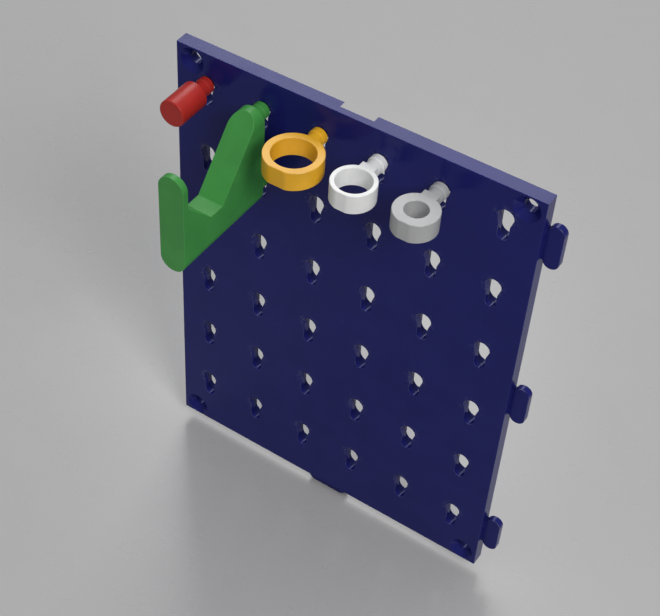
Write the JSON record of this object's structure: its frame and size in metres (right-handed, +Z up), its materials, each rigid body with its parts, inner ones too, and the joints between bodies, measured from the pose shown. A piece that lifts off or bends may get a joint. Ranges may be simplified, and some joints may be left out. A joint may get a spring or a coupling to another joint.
{
  "type": "pegboard tool wall",
  "caption": "Keyhole pegboard wall tile with interlocking edge tabs, holding a plain peg, a hook and ring holders that plug into its keyholes.",
  "frame": {"origin": "centre of the tile's back face, which lies against the wall", "axes": "+Z up the wall, +Y into the wall, -Y towards the room, +X to the right for someone facing the wall"},
  "size_m": [0.1598, 0.0616, 0.21],
  "materials": {
    "panel_blue": "moulded plastic, semi-gloss, dark blue",
    "peg_red": "moulded plastic, satin, red",
    "hook_green": "moulded plastic, satin, green",
    "ring_orange": "moulded plastic, satin, amber",
    "ring_white": "moulded plastic, satin, white",
    "ring_grey": "moulded plastic, satin, grey"
  },
  "bodies": {
    "wall_panel": {"wall_panel": "panel_blue"},
    "plain_peg": {"plain_peg": "peg_red"},
    "hook": {"hook": "hook_green"},
    "large_ring_holder": {"large_ring_holder": "ring_orange"},
    "medium_ring_holder": {"medium_ring_holder": "ring_white"},
    "small_ring_holder": {"small_ring_holder": "ring_grey"}
  },
  "joints": [
    {"name": "plain_peg_drop", "type": "slide", "parent": "wall_panel", "child": "plain_peg", "axis": [0, 0, -1], "range_m": [0, 0.0077]},
    {"name": "hook_drop", "type": "slide", "parent": "wall_panel", "child": "hook", "axis": [0, 0, -1], "range_m": [0, 0.0077]},
    {"name": "large_ring_holder_drop", "type": "slide", "parent": "wall_panel", "child": "large_ring_holder", "axis": [0, 0, -1], "range_m": [0, 0.0077]},
    {"name": "medium_ring_holder_drop", "type": "slide", "parent": "wall_panel", "child": "medium_ring_holder", "axis": [0, 0, -1], "range_m": [0, 0.0077]},
    {"name": "small_ring_holder_drop", "type": "slide", "parent": "wall_panel", "child": "small_ring_holder", "axis": [0, 0, -1], "range_m": [0, 0.0077]}
  ]
}
